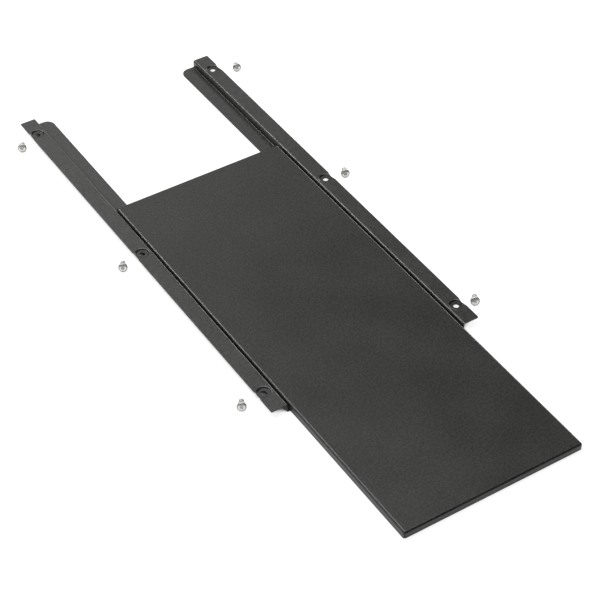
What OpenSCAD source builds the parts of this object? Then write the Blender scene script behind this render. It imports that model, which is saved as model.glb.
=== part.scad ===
// Sliding mouse tray: a folded sheet-steel tray that slides between two Z-section rails.
// The rails hang from the underside of a desk on six short pan-head screws, which lie loose here.
// Millimetres. +X is to the right, -Y is the front, where the tray is pulled out, and +Z is up.
// The origin is the centre of the four corner screw holes, in the plane where the screw heads bear.

/* [Tray] */
// Width of the tray, across the rails
tray_w = 191.5; // [120:0.5:300]
// Length of the tray, front to back
tray_l = 511; // [300:1:700]
// Outside radius of the folds between the tray's top and its walls
tray_fold_r = 3.4; // [1.8:0.1:4]
// Outside radius of the tray's corners, seen from above
tray_corner_r = 2.5; // [2:0.1:4]
// How far the tray's rear edge stands in front of the rails' rear ends
tray_pull = 178.5; // [0:0.5:220]
// Gap left between two neighbouring walls at a corner of the tray
corner_seam = 0.3; // [0.1:0.1:1]

/* [Sheet steel] */
// Thickness of the steel in the tray and the rails
sheet_t = 1.2; // [0.8:0.1:1.6]

/* [Rails] */
// Length of a rail
rail_l = 508; // [300:1:700]
// Height of a rail, from its ledge's underside to its flange's top
rail_h = 9.5; // [8:0.1:20]
// Width of the upper, outer flange, with the web's thickness
flange_w = 17.6; // [16:0.1:30]
// Width of the lower, inner ledge that carries the tray, from the web's face to its free edge
ledge_w = 17.4; // [10:0.1:30]
// Inside radius of the rail's folds
rail_fold_r = 0.9; // [0.5:0.1:1.5]
// Radius of the ledge's free corners
ledge_corner_r = 9; // [2:0.5:10]
// Radius of the flange's free corners
flange_corner_r = 1; // [0.5:0.1:4]

/* [Running clearances] */
// Gap between a wall of the tray and the web of the rail beside it
side_gap = 1.7; // [0.5:0.1:5]
// Gap under the tray's walls, above the ledges
slide_gap = 0.2; // [0.1:0.1:1]
// How far the tray's top lies below the rails' tops, and so below the desk
desk_gap = 0.5; // [0.2:0.1:2]

/* [Screw holes] */
// Diameter of a screw hole
hole_d = 5.8; // [4.5:0.1:6.5]
// Distance from a hole's centre to the flange's outer edge
hole_edge = 7.7; // [7:0.1:9]
// Distance from a rail's end to its nearest hole
hole_end = 25.4; // [15:0.1:60]
// Depth of the dimple round a hole
dimple_depth = 1.5; // [0.8:0.1:1.7]
// Radius of the dimple's flat floor, where a screw head bears
dimple_floor_r = 5.85; // [5.5:0.05:6.2]
// Inside radius of the dimple's two folds
dimple_fold_r = 0.4; // [0.3:0.05:0.8]
// How far pressing the dimple draws the flange's edge in
edge_draw_in = 1; // [0.5:0.1:2.5]
// Length of the stretch of edge that is drawn in
edge_draw_l = 13; // [10:0.5:20]

/* [Screws] */
// Diameter of a screw's pan head
head_d = 9.2; // [7:0.1:9.5]
// Height of the pan head
head_h = 3.1; // [2.5:0.1:3.5]
// Radius of the pan head's shoulder
head_shoulder_r = 1.5; // [0.8:0.1:2]
// Radius of the shallow dome on the pan head
head_dome_r = 9; // [7:0.5:20]
// Diameter of the shank
shank_d = 5.2; // [3:0.1:5.4]
// Length of the shank under the head
shank_l = 9.5; // [8:0.5:16]
// Chamfer at the shank's end
shank_chamfer = 0.5; // [0.2:0.1:0.8]
// Width of each slot of the cross recess
recess_slot = 1; // [0.8:0.1:1.2]
// Diameter of the cross recess at the head's surface
recess_d = 4.4; // [3.5:0.1:5]
// Diameter of the cross recess at its bottom
recess_tip_d = 1.6; // [1:0.1:2]
// Depth of the cross recess
recess_depth = 1.9; // [1.2:0.1:2.2]

/* [Hidden] */
$fn = 64;

// Colours of the powder coat on the steel and of the zinc on the screws
coat = [0.29, 0.29, 0.28];
zinc = [0.8, 0.8, 0.78];

// What a cutter reaches past the solid that it cuts
past = 1;

// Heights, measured from the plane where the screw heads bear
rail_top = sheet_t + dimple_depth;
rail_bottom = rail_top - rail_h;
tray_top = rail_top - desk_gap;
tray_bottom = rail_bottom + sheet_t + slide_gap;

// Distances across the rails, from the middle of the tray
web_x = tray_w / 2 + side_gap;
edge_x = web_x + flange_w;
hole_x = edge_x - hole_edge;

// Distances along the rails: the holes' places, rear to front, and the tray's rear edge
hole_y = rail_l / 2 - hole_end;
hole_places = [hole_y, 0, -hole_y];
tray_rear_y = rail_l / 2 - tray_pull;

// The dimple's side is two equal folds, one after the other, that turn back on each other.
// Their common angle follows from the depth that they have to cover. Each is drawn in short steps.
dimple_fold_steps = 8;
dimple_fold_mid = dimple_fold_r + sheet_t / 2;
dimple_angle = acos(1 - dimple_depth / (2 * dimple_fold_mid));
dimple_rim_r = dimple_floor_r + 2 * dimple_fold_mid * sin(dimple_angle);

// The drawn-in edge is an arc over a chord of edge_draw_l, edge_draw_in deep
edge_arc_r = (pow(edge_draw_l / 2, 2) + pow(edge_draw_in, 2)) / (2 * edge_draw_in);

// A loose screw lies on its head's rim and on its shank's end
head_r = head_d / 2;
shank_r = shank_d / 2;
screw_tilt = atan((head_r - shank_r) / (shank_l - shank_chamfer));

// Where each screw lies: how far outboard of its hole and how far behind it its head is,
// the heading of its shank, clockwise from +Y seen from above, and its turn about its own axis
left_screw_places = [[21.7, -6.2, 28, 20], [23.3, -2.9, 28, 50], [23.8, -0.2, 30, 0]];
right_screw_places = [[27.7, -5.3, 23, 35], [25.3, 1.4, 26, 65], [22, -0.8, 34, 10]];

// A flat ring's slice between two angles, for the folds of the sheet
module fold_slice(inner_r, thickness, from, to) {
    reach = 2 * (inner_r + thickness);
    middle = (from + to) / 2;
    intersection() {
        difference() {
            circle(r = inner_r + thickness);
            circle(r = inner_r);
        }
        polygon([for (a = [undef, from, middle, to]) is_undef(a) ? [0, 0] : reach * [cos(a), sin(a)]]);
    }
}

// The rail's Z section: flange, fold, web, fold, ledge, drawn as X and Z
module rail_section() {
    fold = rail_fold_r + sheet_t;
    translate([web_x + fold, rail_top - sheet_t])
        square([flange_w - fold, sheet_t]);
    translate([web_x + fold, rail_top - fold])
        fold_slice(rail_fold_r, sheet_t, 90, 180);
    translate([web_x, rail_bottom + fold])
        square([sheet_t, rail_h - 2 * fold]);
    translate([web_x - rail_fold_r, rail_bottom + fold])
        fold_slice(rail_fold_r, sheet_t, 270, 360);
    translate([web_x - ledge_w, rail_bottom])
        square([ledge_w - rail_fold_r, sheet_t]);
}

// What is cut away to round a sheet's free corner that points along [sx, sy]
module corner_cut(corner, radius, sx, sy, z) {
    difference() {
        translate([corner[0] - sx * radius, corner[1] - sy * radius, z - past])
            translate([min(0, sx * (radius + past)), min(0, sy * (radius + past)), 0])
                cube([radius + past, radius + past, sheet_t + 2 * past]);
        translate([corner[0] - sx * radius, corner[1] - sy * radius, z - 2 * past])
            cylinder(r = radius, h = sheet_t + 4 * past);
    }
}

// Points along a fold of the dimple, from its flat end to the middle of the dimple's side.
// way is 1 for the lower fold and -1 for the upper one.
function dimple_fold(centre, radius, way) =
    [for (i = [0:dimple_fold_steps])
        let (a = dimple_angle * i / dimple_fold_steps)
            centre + way * radius * [sin(a), -cos(a)]];

// A list of points in the opposite order, without the first, which the list before it ends on
function back_from(points) = [for (i = [len(points) - 2:-1:0]) points[i]];

// The dimple's section, from the hole's wall out to its rim, drawn as radius and Z
module dimple_section() {
    floor_top = rail_top - dimple_depth;
    lower = [dimple_floor_r, floor_top + dimple_fold_r];
    upper = [dimple_rim_r, rail_top - sheet_t - dimple_fold_r];
    polygon(concat(
        [[hole_d / 2, floor_top - sheet_t], [hole_d / 2, floor_top]],
        dimple_fold(lower, dimple_fold_r, 1),
        back_from(dimple_fold(upper, dimple_fold_r + sheet_t, -1)),
        dimple_fold(upper, dimple_fold_r, -1),
        back_from(dimple_fold(lower, dimple_fold_r + sheet_t, 1))
    ));
}

// The right rail. The left one is the same rail, turned half round.
module rail() {
    color(coat) difference() {
        union() {
            difference() {
                rotate([90, 0, 0])
                    linear_extrude(height = rail_l, center = true) rail_section();
                for (y = hole_places)
                    translate([hole_x, y, rail_top - sheet_t - past])
                        cylinder(r = dimple_rim_r, h = sheet_t + 2 * past);
            }
            for (y = hole_places)
                translate([hole_x, y, 0])
                    rotate_extrude() dimple_section();
        }
        translate([edge_x, -rail_l / 2 - past, rail_bottom - past])
            cube([dimple_rim_r, rail_l + 2 * past, rail_h + 2 * past]);
        for (y = hole_places)
            translate([edge_x + edge_arc_r - edge_draw_in, y, rail_bottom - past])
                cylinder(r = edge_arc_r, h = rail_h + 2 * past);
        for (end = [-1, 1]) {
            corner_cut([web_x - ledge_w, end * rail_l / 2], ledge_corner_r, -1, end, rail_bottom);
            corner_cut([edge_x, end * rail_l / 2], flange_corner_r, 1, end, rail_top - sheet_t);
        }
    }
}

module right_rail() {
    rail();
}

module left_rail() {
    rotate([0, 0, 180]) rail();
}

// The outline of a bar, width by height, with its two upper edges rounded, standing on zero
module round_top(width, height, radius) {
    translate([-width / 2, 0]) square([width, height - radius]);
    translate([radius - width / 2, 0]) square([width - 2 * radius, height]);
    for (side = [-1, 1])
        translate([side * (width / 2 - radius), height - radius]) circle(r = radius);
}

// A rectangle with rounded corners, its centre on zero
module round_plan(width, length, radius) {
    square([width, length - 2 * radius], center = true);
    square([width - 2 * radius, length], center = true);
    for (sx = [-1, 1], sy = [-1, 1])
        translate([sx * (width / 2 - radius), sy * (length / 2 - radius)]) circle(r = radius);
}

// A block whose four upper edges are rounded by fold_r and its four upright ones by corner_r
module pan_block(width, length, height, fold_r, corner_r) {
    intersection() {
        rotate([90, 0, 0])
            linear_extrude(height = length, center = true) round_top(width, height, fold_r);
        rotate([90, 0, 90])
            linear_extrude(height = width, center = true) round_top(length, height, fold_r);
        linear_extrude(height = height) round_plan(width, length, corner_r);
    }
}

// The tray: a pan upside down, one sheet with its four walls folded down. The front and rear walls
// wrap round the corners, and a seam is left between them and the side walls.
module tray() {
    height = tray_top - tray_bottom;
    seam_h = height - tray_fold_r + past;
    color(coat) translate([0, tray_rear_y - tray_l / 2, tray_bottom]) difference() {
        pan_block(tray_w, tray_l, height, tray_fold_r, tray_corner_r);
        translate([0, 0, -past])
            pan_block(tray_w - 2 * sheet_t, tray_l - 2 * sheet_t, height - sheet_t + past,
                tray_fold_r - sheet_t, tray_corner_r - sheet_t);
        for (sx = [-1, 1], sy = [-1, 1])
            translate([sx * tray_w / 2, sy * (tray_l - corner_seam) / 2 - sy * sheet_t, seam_h / 2 - past])
                cube([2 * (tray_corner_r + past), corner_seam, seam_h], center = true);
    }
}

// Half of a pan head's section, drawn as radius and Z, its underside on zero
module head_section() {
    intersection() {
        translate([0, head_h - head_dome_r]) circle(r = head_dome_r);
        union() {
            square([head_r, head_h - head_shoulder_r]);
            square([head_r - head_shoulder_r, head_h]);
            translate([head_r - head_shoulder_r, head_h - head_shoulder_r]) circle(r = head_shoulder_r);
        }
        square([head_r, head_h]);
    }
}

// Half of the shank's section, from its chamfered end up to the head's underside
module shank_section() {
    polygon([
        [0, -shank_l],
        [shank_r - shank_chamfer, -shank_l],
        [shank_r, shank_chamfer - shank_l],
        [shank_r, 0],
        [0, 0]
    ]);
}

// A screw that stands on its shank, its head's underside on zero
module screw() {
    difference() {
        rotate_extrude() union() {
            head_section();
            shank_section();
        }
        translate([0, 0, head_h - recess_depth]) intersection() {
            cylinder(d1 = recess_tip_d, d2 = recess_d, h = recess_depth);
            linear_extrude(height = recess_depth)
                for (slot = [[recess_d, recess_slot], [recess_slot, recess_d]])
                    square(slot, center = true);
        }
    }
}

// A screw lying beside its hole, on the surface that the rails' ledges lie on.
// side is 1 for the right rail and -1 for the left, and hole counts from the rear.
module loose_screw(side, hole, place) {
    color(zinc)
        translate([side * (hole_x + place[0]), hole_places[hole] + place[1], rail_bottom + head_r * cos(screw_tilt)])
            rotate([90 - screw_tilt, 0, -place[2]])
                rotate([0, 0, place[3]])
                    screw();
}

tray();
left_rail();
right_rail();
loose_screw(-1, 0, left_screw_places[0]);  // rear_left_screw
loose_screw(-1, 1, left_screw_places[1]);  // middle_left_screw
loose_screw(-1, 2, left_screw_places[2]);  // front_left_screw
loose_screw(1, 0, right_screw_places[0]);  // rear_right_screw
loose_screw(1, 1, right_screw_places[1]);  // middle_right_screw
loose_screw(1, 2, right_screw_places[2]);  // front_right_screw
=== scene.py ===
# The look of a sliding mouse tray: powder coat on its folded steel, zinc-plated screws with real
# threads, and a plain pale studio. Metres. +X is right, -Y is the front and +Z is up.
from math import atan, cos, pi, radians, sin, sqrt, tau

import bmesh
import bpy
from mathutils import Matrix, Quaternion, Vector


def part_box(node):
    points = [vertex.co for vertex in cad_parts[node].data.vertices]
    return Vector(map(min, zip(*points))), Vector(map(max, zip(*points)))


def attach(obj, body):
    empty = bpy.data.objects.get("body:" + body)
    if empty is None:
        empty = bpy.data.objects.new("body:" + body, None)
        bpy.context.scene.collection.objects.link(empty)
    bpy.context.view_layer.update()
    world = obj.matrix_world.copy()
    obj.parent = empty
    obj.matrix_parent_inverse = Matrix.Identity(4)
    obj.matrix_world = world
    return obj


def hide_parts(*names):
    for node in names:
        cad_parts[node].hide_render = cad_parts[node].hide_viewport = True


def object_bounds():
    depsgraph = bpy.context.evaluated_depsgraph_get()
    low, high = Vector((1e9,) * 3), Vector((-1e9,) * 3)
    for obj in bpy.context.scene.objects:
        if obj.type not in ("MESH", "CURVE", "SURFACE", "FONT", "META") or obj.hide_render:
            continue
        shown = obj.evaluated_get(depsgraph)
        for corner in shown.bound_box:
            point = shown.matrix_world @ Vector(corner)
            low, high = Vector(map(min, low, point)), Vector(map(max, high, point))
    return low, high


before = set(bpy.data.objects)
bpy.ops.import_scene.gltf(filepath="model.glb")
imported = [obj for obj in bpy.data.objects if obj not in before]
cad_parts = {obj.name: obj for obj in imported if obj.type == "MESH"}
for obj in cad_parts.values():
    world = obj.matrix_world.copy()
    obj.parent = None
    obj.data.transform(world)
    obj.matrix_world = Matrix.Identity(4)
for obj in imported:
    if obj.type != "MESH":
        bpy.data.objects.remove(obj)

MM = 0.001
cad_low, cad_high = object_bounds()


# Small helpers

def linear(hex_colour):
    """An sRGB hex colour as the linear colour that a shader takes."""
    parts = [int(hex_colour[i:i + 2], 16) / 255 for i in (1, 3, 5)]
    return [p / 12.92 if p <= 0.04045 else ((p + 0.055) / 1.055) ** 2.4 for p in parts] + [1]


def add(tree, kind, inputs=None, **settings):
    """Adds a node with its settings. Each input is a value or another node's output."""
    made = tree.nodes.new(kind)
    for name, value in settings.items():
        setattr(made, name, value)
    for name, value in (inputs or {}).items():
        if isinstance(value, bpy.types.NodeSocket):
            tree.links.new(value, made.inputs[name])
        else:
            made.inputs[name].default_value = value
    return made


def ramp(tree, factor, *stops):
    """A colour ramp through stops of place and hex colour."""
    made = add(tree, "ShaderNodeValToRGB", {"Fac": factor})
    while len(made.color_ramp.elements) < len(stops):
        made.color_ramp.elements.new(0.5)
    for element, (place, colour) in zip(made.color_ramp.elements, stops):
        element.position = place
        element.color = linear(colour)
    return made.outputs["Color"]


def new_material(name):
    """An empty material with a Principled shader, and what its patterns are placed by."""
    material = bpy.data.materials.new(name)
    material.use_nodes = True
    tree = material.node_tree
    place = add(tree, "ShaderNodeTexCoord").outputs["Object"]
    return material, tree, tree.nodes["Principled BSDF"], place


# Materials

POLISH_AND_PAINTED_HIGHLIGHT = "rubbed"     # the screws' attribute: 1 on the dome, where tumbling in the plating barrel polished the zinc and a painted highlight also makes it paler


def powder_coat(name, dark, pale, sheen_level):
    """Black polyester powder coat, sprayed on folded steel sheet and baked. Its fine wrinkles scatter
    the light, so the black reads as a dark grey with a soft sheen and a faint sandy mottle. It lies
    thin, rounded and dull over each cut edge, where handling has rubbed specks of it smoother and paler.
    In folds and dimples its colour and sheen are darkened by painted shade."""
    grain_width = 2.0 * MM     # the real wrinkles are about 0.3 mm, drawn coarser so that they show
    speck_width = 0.5 * MM
    cloud_width = 60 * MM      # slow changes in how thick the coat lies
    wrinkle_height = 0.05 * MM
    edge_round = 0.35 * MM
    nook_width = 8 * MM        # how wide a fold or dimple still gets painted shade
    material, tree, shader, place = new_material(name)
    grain = add(tree, "ShaderNodeTexNoise", {
        "Vector": place, "Scale": 1 / grain_width, "Detail": 2.0, "Roughness": 0.6}).outputs["Fac"]
    speck = add(tree, "ShaderNodeTexNoise", {
        "Vector": place, "Scale": 1 / speck_width, "Detail": 1.0}).outputs["Fac"]
    cloud = add(tree, "ShaderNodeTexNoise", {
        "Vector": place, "Scale": 1 / cloud_width, "Detail": 2.0, "Roughness": 0.4}).outputs["Fac"]
    mottle = ramp(tree, grain, (0.36, dark), (0.64, pale))
    depth = ramp(tree, cloud, (0.3, "#f2f2f0"), (0.7, "#ffffff"))
    tint = add(tree, "ShaderNodeVectorMath", {0: mottle, 1: depth}, operation="MULTIPLY").outputs["Vector"]
    # Painted shade: where the AO finds a fold or dimple close by, the colour darkens and the sheen drops.
    open_share = add(tree, "ShaderNodeAmbientOcclusion", {
        "Distance": nook_width}, samples=8, only_local=True).outputs["AO"]
    painted_nook_shade = add(tree, "ShaderNodeMapRange", {
        "Value": open_share, "From Min": 0.4, "From Max": 0.95, "To Min": 0.25}).outputs["Result"]
    tint = add(tree, "ShaderNodeVectorMath", {0: tint, 1: painted_nook_shade}, operation="MULTIPLY").outputs["Vector"]

    rounded = add(tree, "ShaderNodeBevel", {"Radius": edge_round}, samples=8).outputs["Normal"]
    faced = add(tree, "ShaderNodeNewGeometry").outputs["Normal"]
    alike = add(tree, "ShaderNodeVectorMath", {0: rounded, 1: faced}, operation="DOT_PRODUCT")
    edge = add(tree, "ShaderNodeMapRange", {
        "Value": alike.outputs["Value"], "From Min": 0.93, "From Max": 0.78}).outputs["Result"]
    worn = add(tree, "ShaderNodeMapRange", {
        "Value": speck, "From Min": 0.5, "From Max": 0.66}).outputs["Result"]
    wear = add(tree, "ShaderNodeMath", {0: edge, 1: worn}, operation="MULTIPLY").outputs[0]
    colour = add(tree, "ShaderNodeMix", {
        "Factor": wear, "A": tint, "B": linear("#2a2a28")}, data_type="RGBA")
    tree.links.new(colour.outputs["Result"], shader.inputs["Base Color"])

    gloss = add(tree, "ShaderNodeMapRange", {
        "Value": cloud, "From Min": 0.3, "From Max": 0.7, "To Min": 0.3, "To Max": 0.34}).outputs["Result"]
    dull = add(tree, "ShaderNodeMath", {0: edge, 1: 0.3, 2: gloss}, operation="MULTIPLY_ADD").outputs[0]
    rubbed = add(tree, "ShaderNodeMath", {0: wear, 1: -0.12, 2: dull}, operation="MULTIPLY_ADD").outputs[0]
    tree.links.new(rubbed, shader.inputs["Roughness"])
    sheen = add(tree, "ShaderNodeMath", {0: edge, 1: -0.36, 2: sheen_level}, operation="MULTIPLY_ADD")
    sheen = add(tree, "ShaderNodeMath", {0: sheen.outputs[0], 1: painted_nook_shade}, operation="MULTIPLY")
    tree.links.new(sheen.outputs[0], shader.inputs["Specular IOR Level"])
    height = add(tree, "ShaderNodeMath", {0: speck, 1: 0.35, 2: grain}, operation="MULTIPLY_ADD").outputs[0]
    bump = add(tree, "ShaderNodeBump", {
        "Height": height, "Strength": 1.0, "Distance": wrinkle_height, "Normal": rounded})
    tree.links.new(bump.outputs["Normal"], shader.inputs["Normal"])
    return material


def zinc_plate():
    """Bright zinc plate on cold-headed steel wire: a pale metal with a faint cloudy bloom, tumbled
    bright on the head's dome, where a painted highlight also makes it paler, duller elsewhere, and
    darkened by painted shade in its corners."""
    bloom_width = 0.8 * MM
    material, tree, shader, place = new_material("bright_zinc_plate")
    # rubbed is 1 on the dome, which takes the paler colour: tumbling polish and a painted highlight.
    rubbed = add(tree, "ShaderNodeAttribute", attribute_name=POLISH_AND_PAINTED_HIGHLIGHT).outputs["Fac"]
    bloom = add(tree, "ShaderNodeTexNoise", {
        "Vector": place, "Scale": 1 / bloom_width, "Detail": 3.0}).outputs["Fac"]
    dull = ramp(tree, bloom, (0.3, "#adada8"), (0.7, "#c0c0bb"))
    # The dome's colour: tumbling polish and a painted highlight make it paler than the rest.
    bright = ramp(tree, bloom, (0.3, "#f0f0ec"), (0.7, "#fafaf8"))
    # Painted shade: where the AO finds metal close by, the dull colour darkens nearly to black.
    nook_width = 1.2 * MM
    open_share = add(tree, "ShaderNodeAmbientOcclusion", {
        "Distance": nook_width}, samples=8, only_local=True).outputs["AO"]
    painted_corner_shade = ramp(tree, open_share, (0.35, "#1c1c1a"), (0.8, "#ffffff"))
    dull_with_painted_shade = add(tree, "ShaderNodeVectorMath", {0: dull, 1: painted_corner_shade}, operation="MULTIPLY").outputs["Vector"]
    colour = add(tree, "ShaderNodeMix", {"Factor": rubbed, "A": dull_with_painted_shade, "B": bright}, data_type="RGBA")
    tree.links.new(colour.outputs["Result"], shader.inputs["Base Color"])
    shader.inputs["Metallic"].default_value = 0.6
    gloss = add(tree, "ShaderNodeMapRange", {
        "Value": bloom, "From Min": 0.3, "From Max": 0.7, "To Min": 0.34, "To Max": 0.44}).outputs["Result"]
    polish = add(tree, "ShaderNodeMath", {0: rubbed, 1: -0.14, 2: gloss}, operation="MULTIPLY_ADD")
    tree.links.new(polish.outputs[0], shader.inputs["Roughness"])
    rounded = add(tree, "ShaderNodeBevel", {"Radius": 0.12 * MM}, samples=6).outputs["Normal"]
    bump = add(tree, "ShaderNodeBump", {
        "Height": bloom, "Strength": 1.0, "Distance": 0.01 * MM, "Normal": rounded})
    tree.links.new(bump.outputs["Normal"], shader.inputs["Normal"])
    return material


# Screws: the heads and lengths of their solids, with a collar that narrows from the head's rim to the
# shank, and a thread on the rest of the shank. Known fault: the cross recess is covered, see cut_recess.

HEAD_R = 4.6 * MM
HEAD_H = 3.1 * MM
SHOULDER_R = 1.5 * MM
DOME_R = 9 * MM
SHANK_R = 2.6 * MM
SHANK_L = 9.5 * MM
CHAMFER = 0.5 * MM
COLLAR_RIM = 4.3 * MM
COLLAR_END = 5 * MM
THREAD_DEPTH = 0.35 * MM
THREAD_PITCH = 1.6 * MM
RECESS_R = 1.8 * MM
RECESS_SLOT = 0.95 * MM
RECESS_DEPTH = 2.2 * MM
RECESS_TAPER = 0.2
ROUND_STEPS = 48
TILT = atan((HEAD_R - SHANK_R) / (SHANK_L - CHAMFER))     # how far a lying screw's axis dips to its end

# Each screw's heading, clockwise from +Y seen from above, and its turn about its own axis
SCREWS = {
    "rear_left_screw": (28, 20),
    "middle_left_screw": (28, 50),
    "front_left_screw": (30, 0),
    "rear_right_screw": (23, 35),
    "middle_right_screw": (26, 65),
    "front_right_screw": (34, 10),
}


def dome_z(radius):
    """Height of the head's shallow dome at a distance from its axis."""
    return HEAD_H - DOME_R + sqrt(DOME_R ** 2 - radius ** 2)


def revolve(outline):
    """A closed solid of revolution about Z, from an outline of radius and height."""
    mesh = bmesh.new()
    points = [mesh.verts.new((r, 0, z)) for r, z in outline]
    edges = [mesh.edges.new(pair) for pair in zip(points, points[1:])]
    bmesh.ops.spin(mesh, geom=points + edges, cent=(0, 0, 0), axis=(0, 0, 1),
                   angle=tau, steps=ROUND_STEPS, use_merge=True)
    bmesh.ops.remove_doubles(mesh, verts=mesh.verts, dist=1e-6)
    bmesh.ops.recalc_face_normals(mesh, faces=mesh.faces)
    return mesh


def head_outline():
    """The head from the middle of its dome, round its shoulder and back under its rim to the collar."""
    shoulder_z = HEAD_H - SHOULDER_R - 0.3 * MM
    shoulder_x = HEAD_R - SHOULDER_R
    dome = [(r, dome_z(r)) for r in (0, RECESS_R * 1.1, shoulder_x)]
    shoulder = [(shoulder_x + SHOULDER_R * sin(a), shoulder_z + (dome_z(shoulder_x) - shoulder_z) * cos(a))
                for a in (pi / 8 * i for i in range(1, 5))]
    return dome + shoulder + [(HEAD_R, 0.2 * MM), (HEAD_R - 0.2 * MM, 0)]


def screw_mesh():
    """A screw that stands on its shank, its head's underside on zero."""
    core_r = SHANK_R - THREAD_DEPTH
    mesh = revolve(head_outline() + [
        (COLLAR_RIM, -0.3 * MM), (COLLAR_RIM - 0.4 * MM, -1.8 * MM), (COLLAR_RIM - 0.8 * MM, -3.6 * MM),
        (SHANK_R + 0.1 * MM, -COLLAR_END), (core_r, -COLLAR_END - 0.4 * MM), (core_r, CHAMFER - SHANK_L),
        (core_r - CHAMFER / 2, -SHANK_L), (0, -SHANK_L)])
    cut_recess(mesh)
    add_thread(mesh, core_r)
    bmesh.ops.recalc_face_normals(mesh, faces=mesh.faces)
    # Marks the dome for its paler colour: tumbling polish and a painted highlight.
    rubbed = mesh.verts.layers.float.new(POLISH_AND_PAINTED_HIGHLIGHT)
    for vert in mesh.verts:
        on_dome = abs(vert.co.z - dome_z(vert.co.xy.length)) < 0.02 * MM
        vert[rubbed] = 1.0 if on_dome else 0.0
    return mesh


def cut_recess(mesh):
    """Cuts the cross recess's outline into the dome, and pushes a copy of the faces in it down.

    Known fault: the faces themselves stay in the dome, so they cover the recess like a lid, and each
    edge of the outline is shared by three faces.
    """
    for axis in (Vector((1, 0, 0)), Vector((0, 1, 0))):
        for distance in (-RECESS_R, -RECESS_SLOT / 2, RECESS_SLOT / 2, RECESS_R):
            top = [f for f in mesh.faces if f.calc_center_median().z > HEAD_H / 2]
            around = list({e for f in top for e in f.edges} | {v for f in top for v in f.verts})
            bmesh.ops.bisect_plane(mesh, geom=top + around, dist=1e-7,
                                   plane_co=axis * distance, plane_no=axis)
    inside = []
    for face in mesh.faces:
        middle = face.calc_center_median()
        short, long = sorted((abs(middle.x), abs(middle.y)))
        if middle.z > HEAD_H / 2 and short < RECESS_SLOT / 2 and long < RECESS_R:
            inside.append(face)
    pushed = bmesh.ops.extrude_face_region(mesh, geom=inside)["geom"]
    floor = [v for v in pushed if isinstance(v, bmesh.types.BMVert)]
    bmesh.ops.translate(mesh, verts=floor, vec=(0, 0, -RECESS_DEPTH))
    bmesh.ops.scale(mesh, verts=floor, vec=(RECESS_TAPER, RECESS_TAPER, 1))


def add_thread(mesh, core_r):
    """Winds a ridge round the core, below the collar, and runs it out at both ends."""
    low, high = THREAD_PITCH * 0.4 - SHANK_L, -COLLAR_END - 0.44 * MM
    turns = (high - low) / THREAD_PITCH
    steps = round(turns * ROUND_STEPS / 2)
    root = core_r - 0.1 * MM                # just inside the core, so that no gap shows
    ridge_half = THREAD_PITCH * 0.36
    crest_half = ridge_half * 0.12
    ridge = bmesh.new()
    corners = [ridge.verts.new(p) for p in (
        (root, 0, low - ridge_half), (SHANK_R, 0, low - crest_half), (SHANK_R, 0, low + crest_half),
        (root, 0, low + ridge_half))]
    loop = [ridge.edges.new(pair) for pair in zip(corners, corners[1:] + corners[:1])]
    bmesh.ops.spin(ridge, geom=corners + loop, cent=(0, 0, 0), axis=(0, 0, 1),
                   dvec=(0, 0, (high - low) / steps), angle=tau * turns, steps=steps)
    bmesh.ops.holes_fill(ridge, edges=[e for e in ridge.edges if e.is_boundary])
    for vert in ridge.verts:
        run_out = min(1, max(0, min(vert.co.z - low, high - vert.co.z) / (THREAD_PITCH * 0.3)))
        radius = vert.co.xy.length
        vert.co.xy *= (root + (radius - root) * run_out) / radius
    bmesh.ops.recalc_face_normals(ridge, faces=ridge.faces)
    part = bpy.data.meshes.new("ridge")
    ridge.to_mesh(part)
    ridge.free()
    mesh.from_mesh(part)
    bpy.data.meshes.remove(part)


def lie_down(heading, turn):
    """Turns a standing screw so that it lies on its head's rim and its shank's end."""
    return (Matrix.Rotation(radians(-heading), 4, "Z") @ Matrix.Rotation(pi / 2 - TILT, 4, "X")
            @ Matrix.Rotation(radians(turn), 4, "Z"))


def corner_of(mesh):
    """The lowest corner of the box round a mesh."""
    return Vector([min(v.co[i] for v in mesh.verts) for i in range(3)])


def add_screw(node, heading, turn, finish):
    """A detailed screw in the place of its solid, found by laying the plain outline in the solid's box."""
    down = lie_down(heading, turn)
    plain = revolve([(0, HEAD_H)] + head_outline() + [
        (SHANK_R, 0), (SHANK_R, CHAMFER - SHANK_L), (SHANK_R - CHAMFER, -SHANK_L), (0, -SHANK_L)])
    plain.transform(down)
    place = Matrix.Translation(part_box(node)[0] - corner_of(plain))
    plain.free()
    mesh = screw_mesh()
    mesh.transform(place @ down)
    data = bpy.data.meshes.new("threaded_" + node)
    mesh.to_mesh(data)
    mesh.free()
    data.materials.append(finish)
    data.shade_smooth()
    data.set_sharp_from_angle(angle=radians(35))
    piece = bpy.data.objects.new("threaded_" + node, data)
    bpy.context.scene.collection.objects.link(piece)
    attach(piece, "rails")
    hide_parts(node)
    return piece


# Tray: in the box of its solid, with the photographed one's tighter folds and shallower end walls

FOLD_R = 2.2 * MM
CORNER_R = 2.4 * MM
END_RISE = 0.6 * MM          # how much higher the end walls end than the side walls
FLAT_MARGIN = 0.4 * MM
SHEET = 1.2 * MM


def cut_across(mesh, place):
    """Adds a loop round a mesh where the plane through place, square to one axis, meets it."""
    bmesh.ops.bisect_plane(mesh, geom=mesh.faces[:] + mesh.edges[:] + mesh.verts[:], dist=1e-7,
                           plane_co=place, plane_no=place.normalized())


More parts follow.
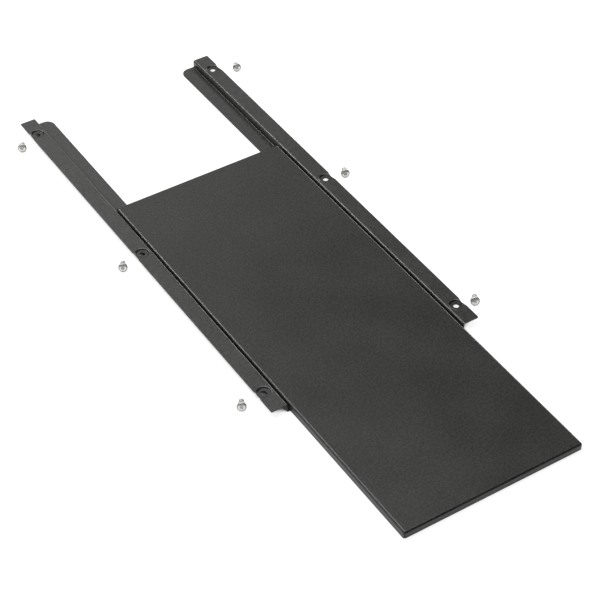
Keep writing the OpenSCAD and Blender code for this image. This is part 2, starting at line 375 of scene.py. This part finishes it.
def add_tray(finish):
    """A pan upside down: one sheet with four walls folded down, open by a slit at each rounded corner."""
    low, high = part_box("tray")
    mesh = bmesh.new()
    bmesh.ops.create_cube(mesh, size=1)
    bmesh.ops.scale(mesh, verts=mesh.verts, vec=high - low)
    bmesh.ops.translate(mesh, verts=mesh.verts, vec=(low + high) / 2)
    below = [f for f in mesh.faces if f.normal.z < -0.5]
    bmesh.ops.delete(mesh, geom=below, context="FACES_ONLY")
    upright = [e for e in mesh.edges if abs(e.verts[0].co.z - e.verts[1].co.z) > MM]
    bmesh.ops.bevel(mesh, geom=upright, offset=CORNER_R, affect="EDGES", segments=9, profile=0.5,
                    material=-1)
    rim = [e for e in mesh.edges if all(abs(v.co.z - high.z) < 1e-6 for v in e.verts)]
    bmesh.ops.bevel(mesh, geom=rim, offset=FOLD_R, affect="EDGES", segments=8, profile=0.5, material=-1)
    flat = FOLD_R + FLAT_MARGIN      # loops just beside the folds keep the sheet between them flat
    for place in ((high.x - flat, 0, 0), (low.x + flat, 0, 0), (0, high.y - flat, 0), (0, low.y + flat, 0),
                  (0, 0, high.z - flat)):
        cut_across(mesh, Vector(place))
    halfway = 0.6                    # only the middle face of a rounded corner faces both ways this much
    slits = [f for f in mesh.faces
             if abs(f.normal.z) < 0.1 and min(abs(f.normal.x), abs(f.normal.y)) > halfway]
    bmesh.ops.delete(mesh, geom=slits, context="FACES")
    end_depth = CORNER_R * 0.3       # an end wall and its halves of the corners lie within this of the end
    for vert in mesh.verts:
        at_end = max(vert.co.y - high.y, low.y - vert.co.y) > -end_depth
        if at_end and abs(vert.co.z - low.z) < 1e-6:
            vert.co.z += END_RISE
    bmesh.ops.recalc_face_normals(mesh, faces=mesh.faces)
    data = bpy.data.meshes.new("folded_tray")
    mesh.to_mesh(data)
    mesh.free()
    data.materials.append(finish)
    data.shade_smooth()
    data.set_sharp_from_angle(angle=radians(35))
    piece = bpy.data.objects.new("folded_tray", data)
    sheet = piece.modifiers.new("sheet", "SOLIDIFY")
    sheet.thickness = SHEET
    sheet.offset = -1
    bpy.context.scene.collection.objects.link(piece)
    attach(piece, "tray")
    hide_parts("tray")


# Studio

def add_floor():
    """A wide pale floor. To the camera and in reflections it is white, and it keeps the shadows. Close
    under metal its white and its paint fade as painted shade, so that it is dark under the rails, and
    its white fades more widely in reflections, a painted shade so that the walls mirror a shaded floor
    at their feet."""
    half = 15.0
    mesh = bmesh.new()
    bmesh.ops.create_grid(mesh, x_segments=1, y_segments=1, size=half)
    bmesh.ops.translate(mesh, verts=mesh.verts, vec=(0, 0, cad_low.z - 0.02 * MM))
    data = bpy.data.meshes.new("floor")
    mesh.to_mesh(data)
    mesh.free()
    floor = bpy.data.objects.new("floor", data)
    bpy.context.scene.collection.objects.link(floor)
    material = bpy.data.materials.new("white_studio_floor")
    material.use_nodes = True
    tree = material.node_tree
    tree.nodes.clear()
    light = add(tree, "ShaderNodeLightPath")
    mirrored = add(tree, "ShaderNodeMath", {
        0: light.outputs["Is Glossy Ray"], 1: light.outputs["Is Transmission Ray"]}, operation="MAXIMUM")
    nearby = 25 * MM
    white_level = 0.9
    # Painted shade: the AO darkens the floor's white and its paint where metal is close by.
    open_share = add(tree, "ShaderNodeAmbientOcclusion", {"Distance": nearby}, samples=16).outputs["AO"]
    seen_white = add(tree, "ShaderNodeMapRange", {
        "Value": open_share, "From Min": 0.2, "From Max": 0.3, "To Max": white_level}).outputs["Result"]
    mirrored_white = add(tree, "ShaderNodeMapRange", {
        "Value": open_share, "From Min": 0.4, "From Max": 0.9,
        "To Min": white_level / 3, "To Max": white_level}).outputs["Result"]
    seen = add(tree, "ShaderNodeMath", {
        0: light.outputs["Is Camera Ray"], 1: seen_white}, operation="MULTIPLY")
    strength = add(tree, "ShaderNodeMath", {
        0: mirrored.outputs[0], 1: mirrored_white, 2: seen.outputs[0]}, operation="MULTIPLY_ADD")
    reached = add(tree, "ShaderNodeMapRange", {
        "Value": open_share, "From Min": 0.1, "From Max": 0.35}).outputs["Result"]
    grey = add(tree, "ShaderNodeMix", {
        "Factor": reached, "A": linear("#181818"), "B": linear("#8c8c8c")}, data_type="RGBA")
    paint = add(tree, "ShaderNodeBsdfDiffuse", {"Color": grey.outputs["Result"]})
    glow = add(tree, "ShaderNodeEmission", {"Strength": strength.outputs[0]})
    both = add(tree, "ShaderNodeAddShader", {0: paint.outputs[0], 1: glow.outputs[0]})
    add(tree, "ShaderNodeOutputMaterial", {"Surface": both.outputs[0]})
    data.materials.append(material)


def add_softbox(name, place, aim, width, height, power):
    """A rectangular softbox at place, facing aim."""
    data = bpy.data.lights.new(name, "AREA")
    data.shape = "RECTANGLE"
    data.size = width
    data.size_y = height
    data.energy = power
    lamp = bpy.data.objects.new(name, data)
    lamp.location = place
    lamp.rotation_mode = "QUATERNION"
    lamp.rotation_quaternion = (Vector(aim) - Vector(place)).to_track_quat("-Z", "Y")
    lamp.visible_camera = False
    bpy.context.scene.collection.objects.link(lamp)


def add_studio():
    """A dim room with a broad softbox overhead, low ones on both sides, and a bright strip behind on the
    left whose reflection draws the light lines along the folds. The front stays dark, for their black
    bands."""
    world = bpy.data.worlds.new("studio_room")
    world.use_nodes = True
    room = world.node_tree.nodes["Background"]
    room.inputs["Color"].default_value = linear("#ffffff")
    room.inputs["Strength"].default_value = 0.07
    bpy.context.scene.world = world
    add_floor()
    aim = (0, -0.1, 0)
    add_softbox("overhead_softbox", (-0.1, 0.22, 1.9), aim, 1.5, 1.5, 33)
    add_softbox("rear_left_strip", (-0.5, 1.3, 1.4), aim, 1.0, 0.35, 17)
    add_softbox("rear_softbox", (0.6, 2.1, 1.5), aim, 1.4, 0.7, 3.6)
    add_softbox("low_right_softbox", (2.0, 1.3, 0.6), aim, 1.2, 0.6, 14)
    add_softbox("low_left_softbox", (-2.0, 0.5, 0.5), aim, 1.0, 0.5, 5)


def add_camera():
    """A long lens from the front left, high up."""
    place = Vector((-0.71964, -1.27741, 1.2267))
    looks_at = Vector((-0.01228, -0.13974, 0))
    roll = radians(-0.749)
    data = bpy.data.cameras.new("camera")
    data.lens = 113.88
    data.sensor_width = 36
    camera = bpy.data.objects.new("camera", data)
    camera.location = place
    camera.rotation_mode = "QUATERNION"
    camera.rotation_quaternion = (looks_at - place).to_track_quat("-Z", "Y") @ Quaternion((0, 0, 1), roll)
    bpy.context.scene.collection.objects.link(camera)
    bpy.context.scene.camera = camera


add_camera()
add_studio()
tray_coat = powder_coat("tray_powder_coat", "#181817", "#323230", 0.5)
rail_coat = powder_coat("rail_powder_coat", "#191918", "#343432", 0.66)
for node in ("left_rail", "right_rail"):
    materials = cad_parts[node].data.materials
    if not materials:
        materials.append(rail_coat)
    for i in range(len(materials)):
        materials[i] = rail_coat
add_tray(tray_coat)
zinc = zinc_plate()
for node, (heading, turn) in SCREWS.items():
    add_screw(node, heading, turn, zinc)

bpy.context.scene.view_settings.view_transform = "Standard"
